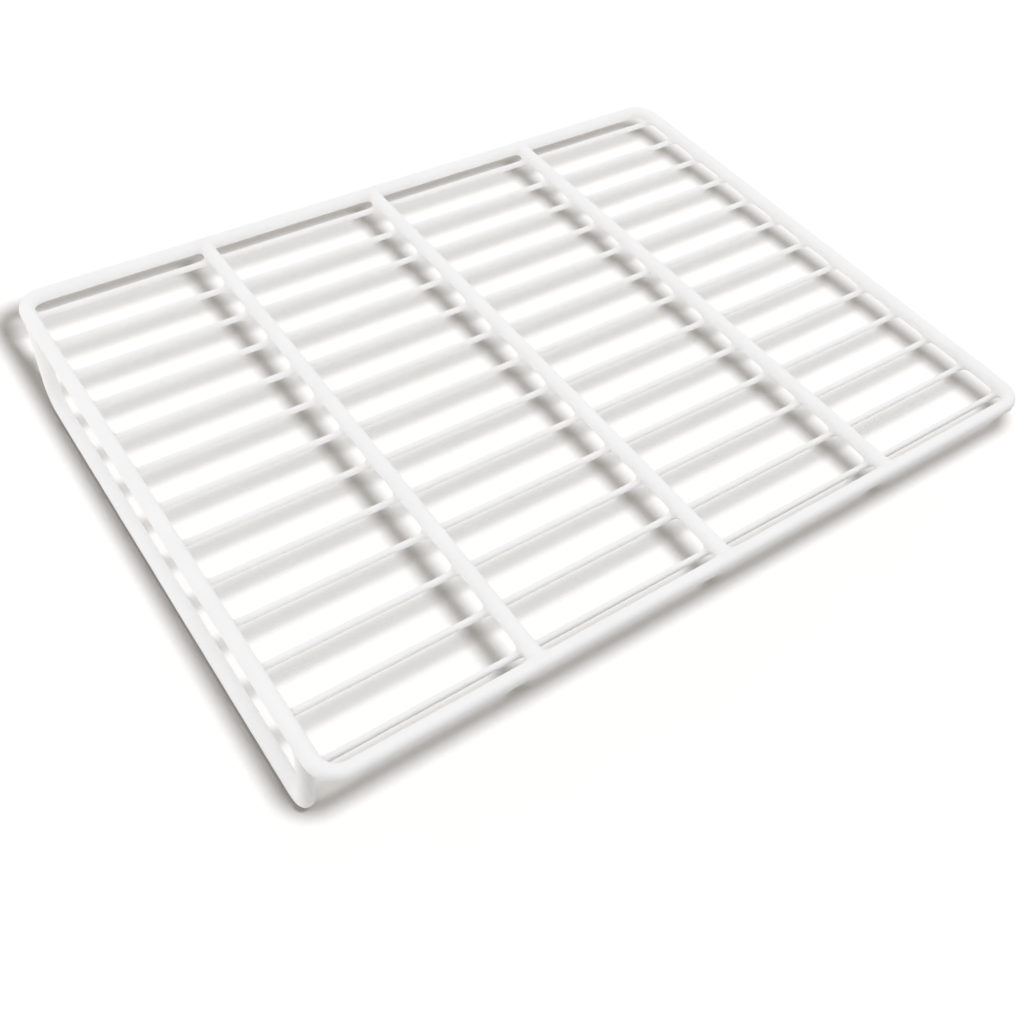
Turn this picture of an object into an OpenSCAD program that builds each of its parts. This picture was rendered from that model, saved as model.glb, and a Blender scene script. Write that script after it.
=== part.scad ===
// Coated wire shelf: a grid of welded steel rods and wires under one white
// dip-coated plastic skin, with a U-shaped bar hanging below one short side.
// +X runs along the long side, away from the lip bar. +Z is up.
// The origin is under the middle of the shelf, level with the lip bar's underside.

/* [Grid] */
// Length of the frame along X, between rod centrelines
frame_length = 420; // [300:5:600]
// Distance from one thin wire to the next
wire_pitch = 25; // [15:0.5:40]
// Distance from the outermost wire to the frame rod beside it, between centrelines
edge_gap = 10.5; // [9:0.5:16]
// Distance from each short side to the cross rod nearest to it, between centrelines
end_bay = 102; // [60:1:130]
// Where the middle cross rod stands along X, from the middle of the frame
middle_rod_x = -1; // [-10:0.5:10]
// Radius of the frame's corners, at the rod's centreline
corner_radius = 11.5; // [8:0.5:14]

/* [Lip bar] */
// Drop from the frame's centreline to the lip bar's centreline
lip_drop = 53.5; // [30:0.5:80]
// Distance from each long side to the lip bar's leg, between centrelines
leg_inset = 18; // [17:0.5:24]
// Radius of the lip bar's two bends, at the rod's centreline
lip_bend_radius = 12.5; // [8:0.5:20]

/* [Steel] */
// Diameter of the frame, cross rods and lip bar
rod_d = 6; // [5:0.1:6.5]
// Diameter of the thin wires
wire_d = 2.4; // [2:0.1:3]
// How deep a wire is pressed into a rod where they are welded
wire_sink = 0.3; // [0.1:0.05:0.4]
// How deep the end of a cross rod or leg is pressed into the frame
butt_sink = 1; // [0.6:0.1:1.4]
// How far each wire runs past the middle of the frame rod that it ends under
wire_overrun = 1; // [0.5:0.1:2]
// Height of the weld bead above the steel rod
bead_height = 0.4; // [0.2:0.05:0.45]
// Length of the weld bead along the rod, from the rod's end
bead_length = 2; // [1.4:0.1:3]

/* [Coating] */
// Thickness of the plastic on the rods
rod_coat = 0.7; // [0.5:0.05:1]
// Thickness of the plastic on the wires
wire_coat = 0.45; // [0.3:0.05:0.7]

/* [Hidden] */
$fn = 48;

WIRES = 13;

frame_depth = (WIRES - 1) * wire_pitch + 2 * edge_gap;
coated_rod_d = rod_d + 2 * rod_coat;
coated_wire_d = wire_d + 2 * wire_coat;

// Heights of the centrelines above the lip bar's underside
lip_z = coated_rod_d / 2;
grid_z = lip_z + lip_drop;
wire_z = grid_z - (rod_d + wire_d) / 2 + wire_sink;

// Plan positions of the centrelines
side_x = frame_length / 2;
side_y = frame_depth / 2;
leg_y = side_y - leg_inset;
cross_x = [-side_x + end_bay, middle_rod_x, side_x - end_bay];
wire_y = [for (i = [0 : WIRES - 1]) side_y - edge_gap - i * wire_pitch];

// Distance from the frame's centreline to the cut end of a cross rod or leg
butt_end = rod_d / 2 - butt_sink;
bead_d = rod_d + 2 * bead_height;

steel_color = [0.62, 0.63, 0.65];
bead_color = [0.45, 0.45, 0.47];
coating_color = [0.95, 0.95, 0.96];

// ---- Round bar along one axis, centred on the origin ----

module bar_x(length, d) {
    rotate([0, 90, 0]) cylinder(h = length, d = d, center = true);
}

module bar_y(length, d) {
    rotate([90, 0, 0]) cylinder(h = length, d = d, center = true);
}

// Quarter bend in the XY plane, about the origin, from +X round to +Y
module bend(radius, d) {
    rotate_extrude(angle = 90) translate([radius, 0]) circle(d = d);
}

// ---- The paths that the steel and its coating both follow ----

// Rounded rectangle of the frame
module ring_path(d) {
    straight_x = frame_length - 2 * corner_radius;
    straight_y = frame_depth - 2 * corner_radius;
    translate([0, 0, grid_z]) {
        for (side = [-1, 1]) {
            translate([0, side * side_y, 0]) bar_x(straight_x, d);
            translate([side * side_x, 0, 0]) bar_y(straight_y, d);
        }
        for (turn = [0, 1], flip = [0, 1])
            mirror([turn, 0, 0]) mirror([0, flip, 0])
                translate([straight_x / 2, straight_y / 2, 0]) bend(corner_radius, d);
    }
}

// Straight cross rod; end_gap is the space left at each end before the frame's centreline
module cross_path(index, d, end_gap) {
    translate([cross_x[index], 0, grid_z]) bar_y(frame_depth - 2 * end_gap, d);
}

// Straight wire; overrun is how far each end goes past the frame's centreline
module wire_path(index, d, overrun) {
    translate([0, wire_y[index], wire_z]) bar_x(frame_length + 2 * overrun, d);
}

// U of the lip bar; end_gap is the space left above each leg before the frame's centreline
module lip_path(d, end_gap) {
    leg_length = lip_drop - lip_bend_radius - end_gap;
    translate([-side_x, 0, lip_z]) {
        bar_y(2 * (leg_y - lip_bend_radius), d);
        for (flip = [0, 1]) mirror([0, flip, 0]) {
            translate([0, leg_y - lip_bend_radius, lip_bend_radius])
                rotate([0, 90, 0]) bend(lip_bend_radius, d);
            translate([0, leg_y, lip_bend_radius]) cylinder(h = leg_length, d = d);
        }
    }
}

// Collars where the cross rods and legs are butt-welded to the frame
module bead_collars() {
    collar_middle = butt_end + bead_length / 2;
    for (x = cross_x, side = [-1, 1])
        translate([x, side * (side_y - collar_middle), grid_z]) bar_y(bead_length, bead_d);
    for (side = [-1, 1])
        translate([-side_x, side * leg_y, grid_z - collar_middle])
            cylinder(h = bead_length, d = bead_d, center = true);
}

// ---- Steel pieces ----

module frame_ring() {
    color(steel_color) ring_path(rod_d);
}

// Each end is coped to the round side of the frame rod that it is welded to
module cross_rod(index) {
    color(steel_color) difference() {
        cross_path(index, rod_d, butt_end);
        for (side = [-1, 1])
            translate([cross_x[index], side * side_y, grid_z]) bar_x(2 * rod_d, rod_d);
    }
}

// A shallow saddle is pressed into the wire under each rod that it is welded to
module wire(index) {
    color(steel_color) difference() {
        wire_path(index, wire_d, wire_overrun);
        ring_path(rod_d);
        for (i = [0 : len(cross_x) - 1])
            translate([cross_x[i], wire_y[index], grid_z]) bar_y(2 * rod_d, rod_d);
    }
}

module lip_bar() {
    color(steel_color) difference() {
        lip_path(rod_d, butt_end);
        for (side = [-1, 1])
            translate([-side_x, side * leg_y, grid_z]) bar_y(2 * rod_d, rod_d);
    }
}

// Rings of weld metal round the butt joints, six on the cross rods and two on the legs
module weld_beads() {
    color(bead_color) difference() {
        bead_collars();
        ring_path(rod_d);
        for (i = [0 : len(cross_x) - 1]) cross_path(i, rod_d, butt_end);
        lip_path(rod_d, butt_end);
    }
}

// ---- Plastic skin ----

module steel_and_welds() {
    ring_path(rod_d);
    for (i = [0 : len(cross_x) - 1]) cross_path(i, rod_d, butt_end);
    for (i = [0 : WIRES - 1]) wire_path(i, wire_d, wire_overrun);
    lip_path(rod_d, butt_end);
    bead_collars();
}

module coated_outline() {
    ring_path(coated_rod_d);
    for (i = [0 : len(cross_x) - 1]) cross_path(i, coated_rod_d, 0);
    for (i = [0 : WIRES - 1]) wire_path(i, coated_wire_d, wire_overrun + wire_coat);
    lip_path(coated_rod_d, 0);
}

module plastic_coating() {
    color(coating_color) difference() {
        coated_outline();
        steel_and_welds();
    }
}

frame_ring();
cross_rod(0);  // cross_rod_1
cross_rod(1);  // cross_rod_2
cross_rod(2);  // cross_rod_3
wire(0);  // wire_01
wire(1);  // wire_02
wire(2);  // wire_03
wire(3);  // wire_04
wire(4);  // wire_05
wire(5);  // wire_06
wire(6);  // wire_07
wire(7);  // wire_08
wire(8);  // wire_09
wire(9);  // wire_10
wire(10);  // wire_11
wire(11);  // wire_12
wire(12);  // wire_13
lip_bar();
weld_beads();
plastic_coating();
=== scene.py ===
"""Coated wire shelf: the white plastic skin, the steel inside it, and the studio it stands in.

Every length is in metres and +Z is up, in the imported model's own frame.
"""

import math

import bpy
import numpy as np
from mathutils import Matrix, Vector


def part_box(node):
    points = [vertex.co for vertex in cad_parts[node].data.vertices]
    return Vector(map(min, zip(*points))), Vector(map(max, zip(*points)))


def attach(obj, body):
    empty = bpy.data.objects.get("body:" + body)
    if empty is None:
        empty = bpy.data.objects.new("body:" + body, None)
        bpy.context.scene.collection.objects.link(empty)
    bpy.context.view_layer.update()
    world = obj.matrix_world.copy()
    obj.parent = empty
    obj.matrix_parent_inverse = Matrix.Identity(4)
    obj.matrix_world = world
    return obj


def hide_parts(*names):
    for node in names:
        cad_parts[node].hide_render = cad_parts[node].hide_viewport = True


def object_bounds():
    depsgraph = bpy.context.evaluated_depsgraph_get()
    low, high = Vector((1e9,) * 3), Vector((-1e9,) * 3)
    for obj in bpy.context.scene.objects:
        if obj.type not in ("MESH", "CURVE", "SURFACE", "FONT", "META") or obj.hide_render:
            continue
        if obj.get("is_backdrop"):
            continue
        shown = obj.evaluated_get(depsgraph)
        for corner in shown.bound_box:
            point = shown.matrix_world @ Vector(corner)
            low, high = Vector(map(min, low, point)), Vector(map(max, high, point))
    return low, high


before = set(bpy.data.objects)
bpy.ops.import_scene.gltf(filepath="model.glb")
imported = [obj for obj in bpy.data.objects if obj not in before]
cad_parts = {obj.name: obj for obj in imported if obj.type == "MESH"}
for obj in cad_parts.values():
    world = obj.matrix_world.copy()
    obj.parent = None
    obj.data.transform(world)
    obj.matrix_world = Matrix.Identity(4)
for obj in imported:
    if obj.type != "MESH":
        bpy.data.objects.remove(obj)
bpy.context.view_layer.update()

bl_info = {
    "name": "Coated Wire Shelf",
    "version": (1, 0, 0),
    "blender": (4, 5, 0),
    "location": "3D View > Sidebar > Wire Shelf",
    "description": "Skins a welded wire shelf in white plastic and sets up a studio for it",
    "category": "Add Mesh",
}

MM = 0.001
QUARTER_TURN = math.pi / 2
# Shortest length that is divided by
TINY = 1e-9

# ---- Sizes that the frame already fixes ----

cross_rod_names = sorted(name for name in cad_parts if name.startswith("cross_rod_"))
wire_names = sorted(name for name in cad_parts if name.startswith("wire_"))

ring_low, ring_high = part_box("frame_ring")
lip_low, lip_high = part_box("lip_bar")
wire_low, wire_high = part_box(wire_names[0])
coat_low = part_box("plastic_coating")[0]

ROD_R = (ring_high.z - ring_low.z) / 2
WIRE_R = (wire_high.z - wire_low.z) / 2
ROD_COAT = ring_low.x - coat_low.x
COATED_ROD_R = ROD_R + ROD_COAT

GRID_Z = (ring_high.z + ring_low.z) / 2
LIP_Z = lip_low.z + ROD_R
WIRE_Z = (wire_high.z + wire_low.z) / 2
SIDE_X = ring_high.x - ROD_R
SIDE_Y = ring_high.y - ROD_R
LEG_Y = lip_high.y - ROD_R
WIRE_END_X = wire_high.x

cross_x = np.array([sum(corner.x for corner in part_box(name)) / 2 for name in cross_rod_names])
wire_y = np.array([sum(corner.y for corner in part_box(name)) / 2 for name in wire_names])


# ---- Settings ----

class SkinSettings(bpy.types.PropertyGroup):
    """Shape of the plastic skin."""

    wire_coat: bpy.props.FloatProperty(
        name="Wire coating",
        description="Thickness of the plastic on a thin wire",
        default=0.45 * MM,
        unit="LENGTH",
    )
    corner_radius: bpy.props.FloatProperty(
        name="Frame corner radius",
        description="Radius of the frame's corners at the rod's centreline",
        default=11.5 * MM,
        unit="LENGTH",
    )
    lip_bend_radius: bpy.props.FloatProperty(
        name="Lip bar bend radius",
        description="Radius of the lip bar's two bends at the rod's centreline",
        default=12.5 * MM,
        unit="LENGTH",
    )
    end_inset: bpy.props.FloatProperty(
        name="Wire end rounding",
        description="Distance from the steel wire's cut end back to the centre of the skin's round end",
        default=0.9 * MM,
        unit="LENGTH",
    )
    web: bpy.props.FloatProperty(
        name="Joint web",
        description="How strongly the plastic bridges the inner corners where two bars meet",
        default=1.3 * MM,
        unit="LENGTH",
    )
    unevenness: bpy.props.FloatProperty(
        name="Unevenness",
        description="How much the skin's thickness wanders along the bars",
        default=0.05 * MM,
        unit="LENGTH",
    )


class FinishSettings(bpy.types.PropertyGroup):
    """Colours of the object's finishes."""

    plastic: bpy.props.FloatVectorProperty(
        name="Plastic",
        description="Main colour of the plastic skin",
        default=(0.908, 0.905, 0.908),
        subtype="COLOR",
    )
    plastic_thin: bpy.props.FloatVectorProperty(
        name="Thin plastic",
        description="Slightly greyer colour of the skin's thin patches",
        default=(0.888, 0.885, 0.887),
        subtype="COLOR",
    )
    # Painted shade: a darker, warmer plastic colour in the inner corners of the joints
    plastic_crease_shade: bpy.props.FloatVectorProperty(
        name="Pooled plastic",
        description="Warmer colour where plastic has gathered in a joint",
        default=(0.865, 0.845, 0.82),
        subtype="COLOR",
    )
    steel: bpy.props.FloatVectorProperty(
        name="Drawn steel",
        description="Colour of the bars inside the skin",
        default=(0.56, 0.57, 0.58),
        subtype="COLOR",
    )
    weld: bpy.props.FloatVectorProperty(
        name="Weld metal",
        description="Colour of the weld beads inside the skin",
        default=(0.33, 0.32, 0.31),
        subtype="COLOR",
    )


class StudioSettings(bpy.types.PropertyGroup):
    """Camera, floor, light tent, floor lamp and dark card."""

    camera_place: bpy.props.FloatVectorProperty(
        name="Camera place",
        description="Where the camera stands",
        default=(-296.75 * MM, -342.61 * MM, 455.84 * MM),
        subtype="TRANSLATION",
        unit="LENGTH",
        precision=5,
    )
    camera_aim: bpy.props.FloatVectorProperty(
        name="Camera aim",
        description="Point that is in the middle of the view",
        default=(-71.25 * MM, -86.51 * MM, 57.2 * MM),
        subtype="TRANSLATION",
        unit="LENGTH",
        precision=5,
    )
    camera_roll: bpy.props.FloatProperty(
        name="Camera roll",
        description="How far the camera is turned about its own line of sight",
        default=math.radians(8.26),
        subtype="ANGLE",
    )
    camera_lens: bpy.props.FloatProperty(
        name="Camera lens",
        description="Focal length in millimetres on a sensor 36 mm wide",
        default=39.82,
        unit="CAMERA",
    )
    floor_size: bpy.props.FloatProperty(
        name="Floor size",
        description="Length of each side of the floor",
        default=8.0,
        unit="LENGTH",
    )
    floor_color: bpy.props.FloatVectorProperty(
        name="Floor",
        description="Colour of the grey sheet on the floor, which the floor lamp lights up to white",
        default=(0.350, 0.333, 0.311),
        subtype="COLOR",
    )
    tent_color: bpy.props.FloatVectorProperty(
        name="Light tent",
        description="Colour of the bright cloth all round and overhead",
        default=(1.0, 0.995, 0.995),
        subtype="COLOR",
    )
    tent_level: bpy.props.FloatProperty(
        name="Tent level",
        description="How bright the tent's cloth is",
        default=1.02,
    )
    lamp_place: bpy.props.FloatVectorProperty(
        name="Floor lamp place",
        description="Where the lamp stands that throws the bars' shadows on the floor",
        default=(-176 * MM, -293 * MM, 472 * MM),
        subtype="TRANSLATION",
        unit="LENGTH",
    )
    lamp_radius: bpy.props.FloatProperty(
        name="Floor lamp radius",
        description="Radius of the floor lamp, which sets how soft the shadows' edges are",
        default=41 * MM,
        unit="LENGTH",
    )
    lamp_level: bpy.props.FloatProperty(
        name="Floor lamp level",
        description="How bright the lamp alone would make a pure white floor",
        default=2.24,
    )
    lamp_color: bpy.props.FloatVectorProperty(
        name="Floor lamp colour",
        description="Colour of the lamp, a little cold to make the warm floor white",
        default=(0.872, 0.926, 1.0),
        subtype="COLOR",
    )
    card_size: bpy.props.FloatVectorProperty(
        name="Dark card size",
        description="Length and height of the card that darkens the shelf's front but not the floor",
        default=(700 * MM, 58 * MM),
        size=2,
        unit="LENGTH",
    )
    card_distance: bpy.props.FloatProperty(
        name="Dark card distance",
        description="Distance from the shelf's front rod to the dark card",
        default=54 * MM,
        unit="LENGTH",
    )


# ---- Distance from any point to each kind of bar ----

def nearest_on_bend(across, upward, core, radius):
    """Nearest point of a rounded outline, for points in its plane that are folded into one quarter.

    core is where the two straight stretches end. Outside both ends the nearest point lies on the
    bend, in the direction of the point from the bend's centre. Elsewhere it is straight across to
    the closer stretch.
    """
    past_across = across - core[0]
    past_upward = upward - core[1]
    length = np.maximum(np.hypot(past_across, past_upward), TINY)
    on_bend = (past_across > 0) & (past_upward > 0)
    side_is_closer = past_across >= past_upward
    straight_across = np.where(side_is_closer, core[0] + radius, across)
    straight_upward = np.where(side_is_closer, upward, core[1] + radius)
    nearest_across = np.where(on_bend, core[0] + radius * past_across / length, straight_across)
    nearest_upward = np.where(on_bend, core[1] + radius * past_upward / length, straight_upward)
    return nearest_across, nearest_upward


def nearest_on_ring(points, corner_radius):
    """Nearest point of the frame's centreline, a rounded rectangle at the grid's height."""
    core = (SIDE_X - corner_radius, SIDE_Y - corner_radius)
    x, y = nearest_on_bend(np.abs(points[:, 0]), np.abs(points[:, 1]), core, corner_radius)
    z = np.full(len(points), GRID_Z)
    return np.stack([np.copysign(x, points[:, 0]), np.copysign(y, points[:, 1]), z], axis=1)


def nearest_on_lip(points, bend_radius):
    """Nearest point of the lip bar's centreline, a U hanging from the frame's left rod."""
    core = (LEG_Y - bend_radius, -LIP_Z - bend_radius)
    drop = -np.minimum(points[:, 2], GRID_Z)
    y, down = nearest_on_bend(np.abs(points[:, 1]), drop, core, bend_radius)
    x = np.full(len(points), -SIDE_X)
    return np.stack([x, np.copysign(y, points[:, 1]), -down], axis=1)


def nearest_on_rods(points):
    """Nearest point of the cross rods' centrelines, which are straight along Y."""
    closest = np.abs(points[:, 0, None] - cross_x[None, :]).argmin(axis=1)
    y = np.clip(points[:, 1], -SIDE_Y, SIDE_Y)
    return np.stack([cross_x[closest], y, np.full(len(points), GRID_Z)], axis=1)


def nearest_on_wires(points, end_x):
    """Nearest point of the wires' centrelines, which are straight along X and stop at end_x."""
    closest = np.abs(points[:, 1, None] - wire_y[None, :]).argmin(axis=1)
    x = np.clip(points[:, 0], -end_x, end_x)
    return np.stack([x, wire_y[closest], np.full(len(points), WIRE_Z)], axis=1)


def wander(points, amount):
    """Slow changes of the skin's thickness.

    They are the mean of four sine waves that cross space in different directions.
    """
    wavelengths = np.array([31.0, 19.0, 12.5, 7.9]) * MM
    directions = np.array([[0.8, 0.5, 0.33], [-0.45, 0.84, 0.3], [0.6, -0.62, 0.5], [0.35, 0.72, -0.6]])
    starts = np.array([0.4, 1.9, 3.3, 5.1])
    phases = points @ (directions * (2 * np.pi / wavelengths[:, None])).T + starts
    return amount * np.sin(phases).mean(axis=1)


def skin_distance(points, skin):
    """Signed distance to the skin, and how much of it is web, from 0 to about 1.

    Each bar's distance is that to its centreline less its coated radius. The skin follows the
    nearest bar, and where a second bar is almost as near it moves out by web times the log of one
    plus the second bar's share. The share is exp(-(difference of the two distances) / web), times
    one less the cosine of the angle between the two surfaces, so that bars running flush together
    don't swell.
    """
    end_x = WIRE_END_X - skin.end_inset
    nearest = np.stack([
        nearest_on_ring(points, skin.corner_radius),
        nearest_on_rods(points),
        nearest_on_lip(points, skin.lip_bend_radius),
        nearest_on_wires(points, end_x),
    ])
    radii = np.array([COATED_ROD_R, COATED_ROD_R, COATED_ROD_R, WIRE_R + skin.wire_coat])
    offsets = points[None] - nearest
    lengths = np.maximum(np.linalg.norm(offsets, axis=2), TINY)
    outward = offsets / lengths[..., None]
    gaps = lengths - radii[:, None]
    first = gaps.argmin(axis=0)
    every = np.arange(len(points))
    least = gaps[first, every]
    angle_share = np.clip(1 - (outward * outward[first, every][None]).sum(axis=2), 0, 1)
    shares = angle_share * np.exp(-(gaps - least) / skin.web)
    swelling = np.log1p(shares.sum(axis=0))
    return least - skin.web * swelling - wander(points, skin.unevenness), swelling / math.log(2)


# ---- Tubes that grow out to the skin ----

GROWTH_STEPS = 14
# Share of the distance still left that each step covers
STEP_SHARE = 0.9
# How far inside its own surface a bar's tube starts, and how far past it the tube may grow
START_INSIDE = 0.4 * MM
MOST_GROWTH = 3.0 * MM

# Places tried along a whole bar, to space its stations and to find its joints
SPACING_PLACES = 12001
JOINT_PLACES = 6001
# How sharply the stations thin out past a joint's reach
THINNING_POWER = 8


def grow_to_skin(centres, outward, radius, skin):
    """Length of each spoke from a bar's centreline out to the skin.

    The spoke starts a little inside the bar's own surface, and grows by the distance to the skin
    several times. Inside another bar it stops after MOST_GROWTH, where that bar hides it.
    """
    reach = np.full(len(centres), radius - START_INSIDE)
    for _ in range(GROWTH_STEPS):
        gap, share = skin_distance(centres + outward * reach[:, None], skin)
        reach = np.clip(reach - STEP_SHARE * gap, radius - START_INSIDE, radius + MOST_GROWTH)
    return reach, share


def stations(length, joints, fine, coarse, reach):
    """Places along a bar, close together at its joints.

    The number of places per metre is 1/coarse, and rises smoothly to 1/fine within reach of a
    joint. Its running total is cut into equal steps.
    """
    along = np.linspace(0.0, length, SPACING_PLACES)
    nearest = np.abs(along[:, None] - joints[None, :]).min(axis=1)
    density = 1 / coarse + (1 / fine - 1 / coarse) / (1 + (nearest / reach) ** THINNING_POWER)
    total = np.concatenate([[0.0], np.cumsum((density[1:] + density[:-1]) / 2 * np.diff(along))])
    count = int(np.ceil(total[-1]))
    return np.interp(np.linspace(0.0, total[-1], count + 1), total, along)


def tube_faces(rings, sides, closed):
    """Quads between neighbouring rings, facing outwards, and the triangles that close the two ends."""
    ring = np.arange(rings if closed else rings - 1)[:, None]
    side = np.arange(sides)[None, :]
    next_ring = (ring + 1) % rings
    next_side = (side + 1) % sides
    corners = [
        ring * sides + side,
        ring * sides + next_side,
        next_ring * sides + next_side,
        next_ring * sides + side,
    ]
    quads = np.stack(corners, axis=2).reshape(-1, 4)
    if closed:
        return quads, np.empty((0, 3), int)
    turn = np.arange(sides)
    ahead = (turn + 1) % sides
    last = (rings - 1) * sides
    start_pole = np.full(sides, rings * sides)
    end_pole = start_pole + 1
    caps = np.concatenate([
        np.stack([start_pole, ahead, turn], axis=1),
        np.stack([end_pole, last + turn, last + ahead], axis=1),
    ])
    return quads, caps


def smooth_mesh(name, points, quads, triangles):
    """A smoothly shaded mesh of those faces."""
    corners = np.concatenate([quads.ravel(), triangles.ravel()])
    sizes = np.concatenate([np.full(len(quads), 4), np.full(len(triangles), 3)])
    mesh = bpy.data.meshes.new(name)
    mesh.vertices.add(len(points))
    mesh.vertices.foreach_set("co", points.astype(np.float32).ravel())
    mesh.loops.add(len(corners))
    mesh.loops.foreach_set("vertex_index", corners.astype(np.int32))
    mesh.polygons.add(len(sizes))
    mesh.polygons.foreach_set("loop_start", (np.cumsum(sizes) - sizes).astype(np.int32))
    mesh.polygons.foreach_set("use_smooth", np.ones(len(sizes), bool))
    mesh.update(calc_edges=True)
    return mesh


def make_tube(name, centres, at_zero, at_quarter, radius, sides, closed, skin):
    """A bar's skin: a circle carried along the bar's centreline, each point of it grown out to the skin.

    A point is centre + reach * (cos(turn) * at_zero + sin(turn) * at_quarter). at_zero, at_quarter
    and the direction of travel are at right angles. An open tube is closed by a point at the middle
    of each end.
    """
    turn = np.linspace(0.0, 2 * np.pi, sides, endpoint=False)[None, :, None]
    spokes = (np.cos(turn) * at_zero[:, None] + np.sin(turn) * at_quarter[:, None]).reshape(-1, 3)
    starts = np.repeat(centres, sides, axis=0)
    reach, share = grow_to_skin(starts, spokes, radius, skin)
    points = starts + spokes * reach[:, None]
    quads, caps = tube_faces(len(centres), sides, closed)
    if not closed:
        points = np.concatenate([points, centres[[0, -1]]])
        share = np.concatenate([share, [0.0, 0.0]])
    mesh = smooth_mesh(name, points, quads, caps)
    # The web's share, kept to paint shade into the joints' inner corners
    mesh.attributes.new("crease_shade", "FLOAT", "POINT")
    mesh.attributes["crease_shade"].data.foreach_set("value", share.astype(np.float32))
    piece = bpy.data.objects.new(name, mesh)
    bpy.context.scene.collection.objects.link(piece)
    piece.data.materials.append(plastic_material())
    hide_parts("plastic_coating")
    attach(piece, "root")


def bent_path(knots, centres, angles, radius):
    """A path of straight stretches and bends: a function from the way along it to a point and its outside.

    Along a straight stretch the turning centre travels and the angle stays. Round a bend the centre
    stays and the angle turns. The point is the centre plus the radius times the angle's direction.
    """
    def place(along):
        middle = np.stack([np.interp(along, knots, centres[:, axis]) for axis in (0, 1)], axis=1)
        angle = np.interp(along, knots, angles)
        outside = np.stack([np.cos(angle), np.sin(angle)], axis=1)
        return middle + radius * outside, outside
    return place


def joint_places(place, length, joints):
    """Way along a path to the point of it nearest to each joint."""
    along = np.linspace(0.0, length, JOINT_PLACES)
    points, _ = place(along)
    apart = np.linalg.norm(points[:, None] - joints[None], axis=2)
    return along[apart.argmin(axis=0)]


# ---- Finishes ----

def new_material(name):
    """An empty node material with its shader and its pattern coordinates."""
    material = bpy.data.materials.new(name)
    material.use_nodes = True
    nodes = material.node_tree.nodes
    nodes.clear()
    output = nodes.new("ShaderNodeOutputMaterial")
    shader = nodes.new("ShaderNodeBsdfPrincipled")
    place = nodes.new("ShaderNodeTexCoord")
    material.node_tree.links.new(shader.outputs["BSDF"], output.inputs["Surface"])
    return material, shader, place


def noise(material, place, per_metre, detail):
    """Noise in Object coordinates with about that many lumps to the metre."""
    node = material.node_tree.nodes.new("ShaderNodeTexNoise")
    node.inputs["Scale"].default_value = per_metre
    node.inputs["Detail"].default_value = detail
    material.node_tree.links.new(place.outputs["Object"], node.inputs["Vector"])
    return node.outputs["Fac"]


def remap(material, value, span, to):
    """value carried from the range span to the range to, and held inside it."""
    node = material.node_tree.nodes.new("ShaderNodeMapRange")
    node.inputs["From Min"].default_value = span[0]
    node.inputs["From Max"].default_value = span[1]
    node.inputs["To Min"].default_value = to[0]
    node.inputs["To Max"].default_value = to[1]
    material.node_tree.links.new(value, node.inputs["Value"])
    return node.outputs["Result"]


def blend_colors(material, share, first, second):
    """Colour from first to second by share. Either may be a socket or a plain colour."""
    node = material.node_tree.nodes.new("ShaderNodeMix")
    node.data_type = "RGBA"
    material.node_tree.links.new(share, node.inputs["Factor"])
    for socket, color in ((node.inputs["A"], first), (node.inputs["B"], second)):
        if isinstance(color, bpy.types.NodeSocket):
            material.node_tree.links.new(color, socket)
        else:
            socket.default_value = (*color, 1.0)
    return node.outputs["Result"]


def darker(color, share):
    """That share of a colour."""
    return tuple(share * channel for channel in color)


def set_roughness(material, shader, value, span, to):
    """Roughness that follows value, carried from the range span to the range to."""
    roughness = remap(material, value, span, to)
    material.node_tree.links.new(roughness, shader.inputs["Roughness"])


def add_bump(material, shader, height, depth, strength):
    """Small relief of that depth in metres."""
    node = material.node_tree.nodes.new("ShaderNodeBump")
    node.inputs["Distance"].default_value = depth
    node.inputs["Strength"].default_value = strength
    material.node_tree.links.new(height, node.inputs["Height"])
    material.node_tree.links.new(node.outputs["Normal"], shader.inputs["Normal"])


def plastic_material():
    """White fused plastic: satin and faintly rippled.

    It is greyer in its thin patches, and darker and warmer in the joints' inner corners, which is painted
    shade.
    """
    if "white_plastic" in bpy.data.materials:
        return bpy.data.materials["white_plastic"]
    finish = bpy.context.scene.shelf_finish
    material, shader, place = new_material("white_plastic")
    crease_shade = material.node_tree.nodes.new("ShaderNodeAttribute")
    crease_shade.attribute_name = "crease_shade"
    lumps = noise(material, place, per_metre=38, detail=3)
    patches = remap(material, lumps, span=(0.35, 0.65), to=(0, 1))
    base = blend_colors(material, patches, finish.plastic, finish.plastic_thin)
    # Painted shade: a darker, warmer colour where the skin bridges a joint's inner corner
    crease_shade_share = remap(material, crease_shade.outputs["Fac"], span=(0.05, 0.9), to=(0, 0.8))
    color = blend_colors(material, crease_shade_share, base, finish.plastic_crease_shade)
    material.node_tree.links.new(color, shader.inputs["Base Color"])
    sheen = noise(material, place, per_metre=90, detail=4)
    set_roughness(material, shader, sheen, span=(0.3, 0.7), to=(0.44, 0.58))
    shader.inputs["Specular IOR Level"].default_value = 0.2
    ripple = noise(material, place, per_metre=380, detail=2)
    add_bump(material, shader, ripple, depth=0.1 * MM, strength=0.2)
    return material


def steel_material():
    """Drawn steel: bright grey metal with a fine rough grain and duller patches."""
    finish = bpy.context.scene.shelf_finish
    material, shader, place = new_material("drawn_steel")
    lumps = noise(material, place, per_metre=120, detail=4)
    patches = remap(material, lumps, span=(0.35, 0.7), to=(0, 1))
    color = blend_colors(material, patches, finish.steel, darker(finish.steel, share=0.72))
    material.node_tree.links.new(color, shader.inputs["Base Color"])
    wear = noise(material, place, per_metre=300, detail=3)
    set_roughness(material, shader, wear, span=(0.3, 0.7), to=(0.28, 0.5))
    shader.inputs["Metallic"].default_value = 1.0
    grain = noise(material, place, per_metre=1500, detail=3)
    add_bump(material, shader, grain, depth=0.04 * MM, strength=0.4)
    return material


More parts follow.
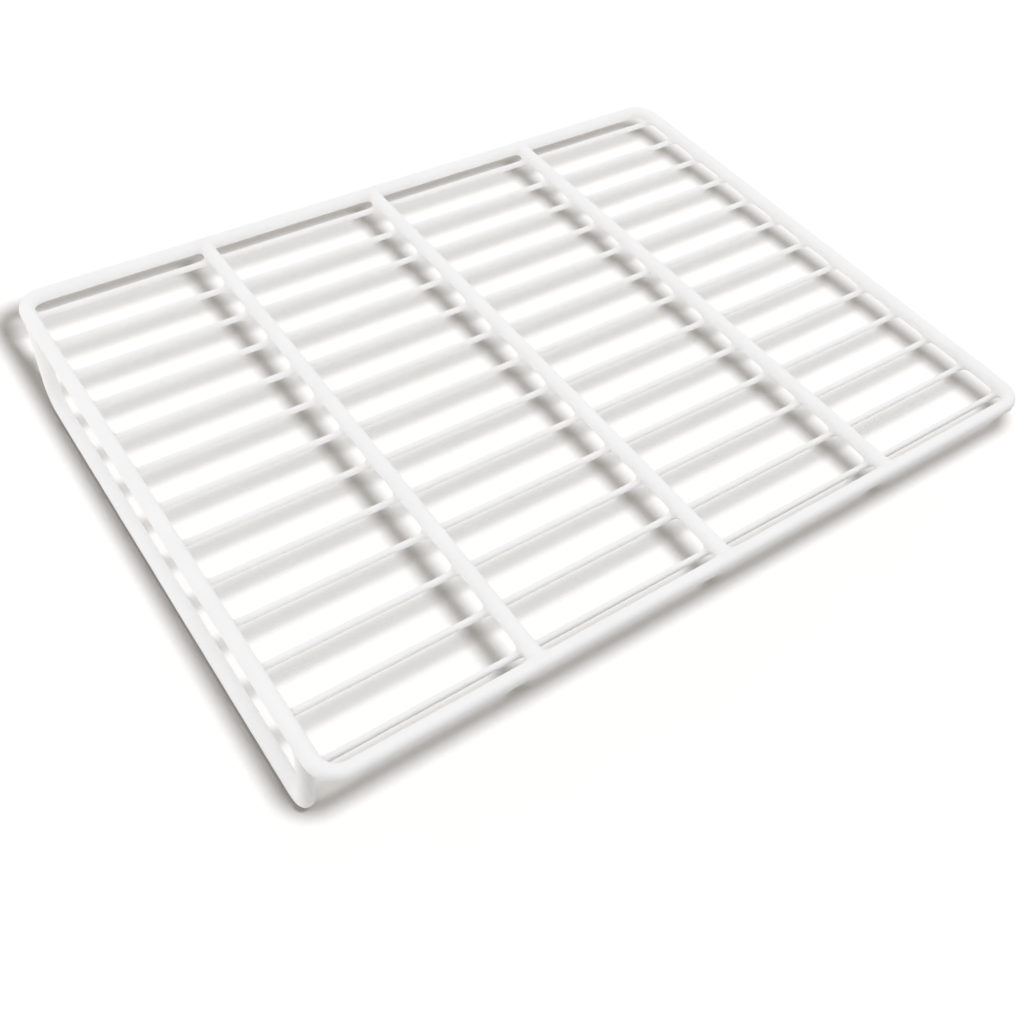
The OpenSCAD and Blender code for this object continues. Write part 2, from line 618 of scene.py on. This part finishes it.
def weld_material():
    """Weld metal: dark oxidised steel with a lumpy surface."""
    finish = bpy.context.scene.shelf_finish
    material, shader, place = new_material("weld_metal")
    lumps = noise(material, place, per_metre=600, detail=4)
    patches = remap(material, lumps, span=(0.3, 0.7), to=(0, 1))
    color = blend_colors(material, patches, finish.weld, darker(finish.weld, share=0.5))
    material.node_tree.links.new(color, shader.inputs["Base Color"])
    scale = noise(material, place, per_metre=500, detail=3)
    set_roughness(material, shader, scale, span=(0.3, 0.7), to=(0.45, 0.7))
    shader.inputs["Metallic"].default_value = 1.0
    ripples = noise(material, place, per_metre=900, detail=3)
    add_bump(material, shader, ripples, depth=0.15 * MM, strength=0.6)
    return material


def floor_material():
    """Matt sheet with the faintest mottle."""
    studio = bpy.context.scene.shelf_studio
    material, shader, place = new_material("pale_floor")
    mottle = noise(material, place, per_metre=25, detail=3)
    color = blend_colors(material, mottle, studio.floor_color, darker(studio.floor_color, share=0.985))
    material.node_tree.links.new(color, shader.inputs["Base Color"])
    fibre = noise(material, place, per_metre=60, detail=2)
    set_roughness(material, shader, fibre, span=(0.3, 0.7), to=(0.85, 0.95))
    shader.inputs["Specular IOR Level"].default_value = 0.1
    return material


def card_material():
    """Matt black card with a faint mottle.

    It glows as brightly as the tent, and stands in for the tent's light that it takes from the floor.
    """
    studio = bpy.context.scene.shelf_studio
    material, shader, place = new_material("dark_card")
    mottle = noise(material, place, per_metre=40, detail=3)
    color = blend_colors(material, mottle, (0.02, 0.018, 0.017), (0.03, 0.027, 0.025))
    material.node_tree.links.new(color, shader.inputs["Base Color"])
    set_roughness(material, shader, mottle, span=(0.3, 0.7), to=(0.9, 1.0))
    shader.inputs["Specular IOR Level"].default_value = 0.1
    shader.inputs["Emission Color"].default_value = (*studio.tent_color, 1.0)
    shader.inputs["Emission Strength"].default_value = studio.tent_level
    return material


# ---- The object's operators ----

ROD_SIDES = 48
WIRE_SIDES = 28

# For each kind of bar: distance between stations at a joint, distance elsewhere, and a joint's reach
FRAME_SPACING = (0.42 * MM, 2.2 * MM, 4.5 * MM)
CROSS_ROD_SPACING = (0.42 * MM, 2.2 * MM, 5 * MM)
WIRE_SPACING = (0.35 * MM, 2.4 * MM, 5 * MM)
LIP_SPACING = (0.42 * MM, 1.6 * MM, 9 * MM)

# How far a tube that ends inside the frame's rod stops short of that rod's centreline
END_GAP = 0.3 * MM
# How far a wire's tube runs into the skin's round end, as a share of the wire's coated radius
ROUND_END_SHARE = 0.98

ALONG_X = (1.0, 0.0, 0.0)
ALONG_Y = (0.0, 1.0, 0.0)
ALONG_Z = (0.0, 0.0, 1.0)


class SHELF_OT_finish_steel(bpy.types.Operator):
    """Give the bars and weld beads inside the skin their metal finishes."""

    bl_idname = "shelf.finish_steel"
    bl_label = "Finish Steel"

    def execute(self, context):
        steel = steel_material()
        weld = weld_material()
        for name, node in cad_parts.items():
            if name == "plastic_coating":
                continue
            for slot in node.material_slots:
                slot.material = weld if name == "weld_beads" else steel
        return {"FINISHED"}


class SHELF_OT_coat_frame(bpy.types.Operator):
    """Skin the frame: a rounded rectangle of coated rod."""

    bl_idname = "shelf.coat_frame"
    bl_label = "Coat Frame"

    def execute(self, context):
        skin = context.scene.shelf_skin
        radius = skin.corner_radius
        core_x = SIDE_X - radius
        core_y = SIDE_Y - radius
        bend = radius * QUARTER_TURN
        knots = np.concatenate([[0.0], np.cumsum([2 * core_y, bend, 2 * core_x, bend] * 2)])
        right_near = (core_x, -core_y)
        right_far = (core_x, core_y)
        left_far = (-core_x, core_y)
        left_near = (-core_x, -core_y)
        corners = [right_near, right_far, right_far, left_far, left_far, left_near, left_near,
                   right_near, right_near]
        angles = np.array([0, 0, 1, 1, 2, 2, 3, 3, 4]) * QUARTER_TURN
        place = bent_path(knots, np.array(corners), angles, radius)
        joints = np.concatenate([
            [(side * SIDE_X, y) for side in (-1, 1) for y in wire_y],
            [(x, side * SIDE_Y) for side in (-1, 1) for x in cross_x],
            [(-SIDE_X, side * LEG_Y) for side in (-1, 1)],
        ])
        around = stations(knots[-1], joint_places(place, knots[-1], joints), *FRAME_SPACING)
        # The last station is the first one again
        along = around[:-1]
        points, outside = place(along)
        centres = np.column_stack([points, np.full(len(along), GRID_Z)])
        outside = np.column_stack([outside, np.zeros(len(along))])
        upward = np.tile(ALONG_Z, (len(along), 1))
        make_tube("coating_frame", centres, upward, outside, COATED_ROD_R, ROD_SIDES, True, skin)
        return {"FINISHED"}


class SHELF_OT_coat_cross_rods(bpy.types.Operator):
    """Skin the cross rods, which run from one long side to the other."""

    bl_idname = "shelf.coat_cross_rods"
    bl_label = "Coat Cross Rods"

    def execute(self, context):
        skin = context.scene.shelf_skin
        end_y = SIDE_Y - END_GAP
        joints = np.concatenate([wire_y, [-SIDE_Y, SIDE_Y]]) + end_y
        y = stations(2 * end_y, joints, *CROSS_ROD_SPACING) - end_y
        upward = np.tile(ALONG_Z, (len(y), 1))
        across = np.tile(ALONG_X, (len(y), 1))
        for number, x in enumerate(cross_x, 1):
            name = f"coating_cross_rod_{number}"
            centres = np.column_stack([np.full(len(y), x), y, np.full(len(y), GRID_Z)])
            make_tube(name, centres, upward, across, COATED_ROD_R, ROD_SIDES, False, skin)
        return {"FINISHED"}


class SHELF_OT_coat_wires(bpy.types.Operator):
    """Skin the thin wires, which run under the rods from one short side to the other."""

    bl_idname = "shelf.coat_wires"
    bl_label = "Coat Wires"

    def execute(self, context):
        skin = context.scene.shelf_skin
        radius = WIRE_R + skin.wire_coat
        end_x = WIRE_END_X - skin.end_inset + ROUND_END_SHARE * radius
        joints = np.concatenate([cross_x, [-SIDE_X, SIDE_X]]) + end_x
        x = stations(2 * end_x, joints, *WIRE_SPACING) - end_x
        across = np.tile(ALONG_Y, (len(x), 1))
        upward = np.tile(ALONG_Z, (len(x), 1))
        for name, y in zip(wire_names, wire_y):
            centres = np.column_stack([x, np.full(len(x), y), np.full(len(x), WIRE_Z)])
            make_tube(f"coating_{name}", centres, across, upward, radius, WIRE_SIDES, False, skin)
        return {"FINISHED"}


class SHELF_OT_coat_lip_bar(bpy.types.Operator):
    """Skin the lip bar: a U of coated rod below the left side of the frame."""

    bl_idname = "shelf.coat_lip_bar"
    bl_label = "Coat Lip Bar"

    def execute(self, context):
        skin = context.scene.shelf_skin
        radius = skin.lip_bend_radius
        top = GRID_Z - END_GAP
        core_y = LEG_Y - radius
        core_z = LIP_Z + radius
        leg = top - core_z
        bend = radius * QUARTER_TURN
        knots = np.concatenate([[0.0], np.cumsum([leg, bend, 2 * core_y, bend, leg])])
        near_top = (-core_y, top)
        near_bend = (-core_y, core_z)
        far_bend = (core_y, core_z)
        far_top = (core_y, top)
        corners = [near_top, near_bend, near_bend, far_bend, far_bend, far_top]
        angles = np.array([2, 2, 3, 3, 4, 4]) * QUARTER_TURN
        place = bent_path(knots, np.array(corners), angles, radius)
        along = stations(knots[-1], np.array([0.0, knots[-1]]), *LIP_SPACING)
        points, outside = place(along)
        centres = np.column_stack([np.full(len(along), -SIDE_X), points])
        outside = np.column_stack([np.zeros(len(along)), outside])
        across = np.tile(ALONG_X, (len(along), 1))
        make_tube("coating_lip_bar", centres, across, outside, COATED_ROD_R, ROD_SIDES, False, skin)
        return {"FINISHED"}


# ---- Stage ----

# Width of the camera's sensor in millimetres
SENSOR_WIDTH = 36.0
# Distances between which the camera sees
NEAREST_SEEN = 0.01
FARTHEST_SEEN = 50.0


def light_group(name, pieces):
    """A collection of pieces for light linking."""
    group = bpy.data.collections.new(name)
    for piece in pieces:
        group.objects.link(piece)
    return group


def flat_sheet(name, corners, material):
    """A flat four-cornered sheet that belongs to the stage."""
    mesh = bpy.data.meshes.new(name)
    mesh.from_pydata(corners, [], [(0, 1, 2, 3)])
    mesh.materials.append(material)
    sheet = bpy.data.objects.new(name, mesh)
    bpy.context.scene.collection.objects.link(sheet)
    sheet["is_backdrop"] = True
    return sheet


def lay_floor(studio, level):
    """The sheet that the shelf stands on."""
    half = studio.floor_size / 2
    corners = [(x * half, y * half, level) for x, y in ((-1, -1), (1, -1), (1, 1), (-1, 1))]
    return flat_sheet("floor", corners, floor_material())


def stand_card(studio, level):
    """The dark card, upright in front of the shelf and out of the camera's sight."""
    half = studio.card_size[0] / 2
    top = level + studio.card_size[1]
    y = -SIDE_Y - studio.card_distance
    corners = [(-half, y, level), (half, y, level), (half, y, top), (-half, y, top)]
    card = flat_sheet("dark_card", corners, card_material())
    card.visible_camera = False
    return card


def light_tent(studio):
    """Even bright cloth all round and overhead."""
    world = bpy.data.worlds.new("light_tent")
    world.use_nodes = True
    cloth = world.node_tree.nodes["Background"]
    cloth.inputs["Color"].default_value = (*studio.tent_color, 1.0)
    cloth.inputs["Strength"].default_value = studio.tent_level
    return world


def even_floor_light(light, level):
    """Spread a lamp's light so that it falls evenly on the floor.

    Light on a floor falls off as the cube of the cosine of the angle from straight down, so the
    lamp shines brighter away from straight down by that much.
    """
    light.use_nodes = True
    nodes = light.node_tree.nodes
    links = light.node_tree.links
    direction = nodes.new("ShaderNodeTexCoord")
    split = nodes.new("ShaderNodeSeparateXYZ")
    upright = nodes.new("ShaderNodeMath")
    upright.operation = "ABSOLUTE"
    spread = nodes.new("ShaderNodeMath")
    spread.operation = "POWER"
    spread.inputs[1].default_value = -3.0
    scale = nodes.new("ShaderNodeMath")
    scale.operation = "MULTIPLY"
    scale.inputs[1].default_value = level
    links.new(direction.outputs["Normal"], split.inputs["Vector"])
    links.new(split.outputs["Z"], upright.inputs[0])
    links.new(upright.outputs[0], spread.inputs[0])
    links.new(spread.outputs[0], scale.inputs[0])
    links.new(scale.outputs[0], nodes["Emission"].inputs["Strength"])


def hang_lamp(studio, level):
    """The lamp that throws the bars' shadows.

    A point light of 4 pi squared times its height squared, in watts, makes a pure white floor
    straight below it as bright as a tent of level one does.
    """
    light = bpy.data.lights.new("floor_lamp", "POINT")
    light.shadow_soft_size = studio.lamp_radius
    height = studio.lamp_place[2] - level
    light.energy = 4 * math.pi ** 2 * height ** 2
    light.color = studio.lamp_color
    even_floor_light(light, studio.lamp_level)
    lamp = bpy.data.objects.new("floor_lamp", light)
    lamp.location = studio.lamp_place
    bpy.context.scene.collection.objects.link(lamp)
    return lamp


def set_up_camera(studio):
    """The camera, pointed at its aim and then turned about its own line of sight."""
    lens = bpy.data.cameras.new("camera")
    lens.lens = studio.camera_lens
    lens.sensor_width = SENSOR_WIDTH
    lens.clip_start = NEAREST_SEEN
    lens.clip_end = FARTHEST_SEEN
    camera = bpy.data.objects.new("camera", lens)
    camera.location = studio.camera_place
    bpy.context.scene.collection.objects.link(camera)
    away = camera.location - Vector(studio.camera_aim)
    facing = away.to_track_quat("Z", "Y").to_matrix()
    turned = facing @ Matrix.Rotation(studio.camera_roll, 3, "Z")
    camera.rotation_mode = "QUATERNION"
    camera.rotation_quaternion = turned.to_quaternion()
    return camera


class SHELF_OT_build_stage(bpy.types.Operator):
    """Lay the floor, stand the dark card, hang the tent and the lamp, and set up the camera."""

    bl_idname = "shelf.build_stage"
    bl_label = "Build Stage"

    def execute(self, context):
        scene = context.scene
        studio = scene.shelf_studio
        shelf_parts = [thing for thing in scene.objects if thing.type == "MESH"]
        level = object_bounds()[0].z
        floor = lay_floor(studio, level)
        card = stand_card(studio, level)
        scene.world = light_tent(studio)
        lamp = hang_lamp(studio, level)
        scene.camera = set_up_camera(studio)

        # The lamp and the card's glow reach only the floor, and only the shelf blocks the lamp
        floor_only = light_group("floor_only", [floor])
        card.light_linking.receiver_collection = floor_only
        lamp.light_linking.receiver_collection = floor_only
        lamp.light_linking.blocker_collection = light_group("shelf_parts", shelf_parts)

        # The denoiser's colour guide draws dotted lines where white plastic meets the grey floor
        scene.cycles.denoising_input_passes = "RGB"
        scene.view_settings.view_transform = "Standard"
        return {"FINISHED"}


class SHELF_PT_panel(bpy.types.Panel):
    """Buttons for each step of the shelf, and its settings."""

    bl_idname = "SHELF_PT_panel"
    bl_label = "Wire Shelf"
    bl_space_type = "VIEW_3D"
    bl_region_type = "UI"
    bl_category = "Wire Shelf"

    def draw(self, context):
        for step in STEPS_IN_ORDER:
            self.layout.operator(step.bl_idname)
        for group in (context.scene.shelf_skin, context.scene.shelf_finish, context.scene.shelf_studio):
            box = self.layout.box()
            for name in group.__annotations__:
                box.prop(group, name)


STEPS_IN_ORDER = (
    SHELF_OT_finish_steel,
    SHELF_OT_coat_frame,
    SHELF_OT_coat_cross_rods,
    SHELF_OT_coat_wires,
    SHELF_OT_coat_lip_bar,
    SHELF_OT_build_stage,
)
CLASSES = (SkinSettings, FinishSettings, StudioSettings, *STEPS_IN_ORDER, SHELF_PT_panel)


def register():
    """Add the classes and the three groups of settings to Blender."""
    for cls in CLASSES:
        bpy.utils.register_class(cls)
    bpy.types.Scene.shelf_skin = bpy.props.PointerProperty(type=SkinSettings)
    bpy.types.Scene.shelf_finish = bpy.props.PointerProperty(type=FinishSettings)
    bpy.types.Scene.shelf_studio = bpy.props.PointerProperty(type=StudioSettings)


def unregister():
    """Take the groups of settings and the classes out of Blender again."""
    del bpy.types.Scene.shelf_studio
    del bpy.types.Scene.shelf_finish
    del bpy.types.Scene.shelf_skin
    for cls in reversed(CLASSES):
        bpy.utils.unregister_class(cls)


def main():
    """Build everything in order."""
    register()
    bpy.ops.shelf.finish_steel()
    bpy.ops.shelf.coat_frame()
    bpy.ops.shelf.coat_cross_rods()
    bpy.ops.shelf.coat_wires()
    bpy.ops.shelf.coat_lip_bar()
    bpy.ops.shelf.build_stage()


if __name__ == "__main__":
    main()
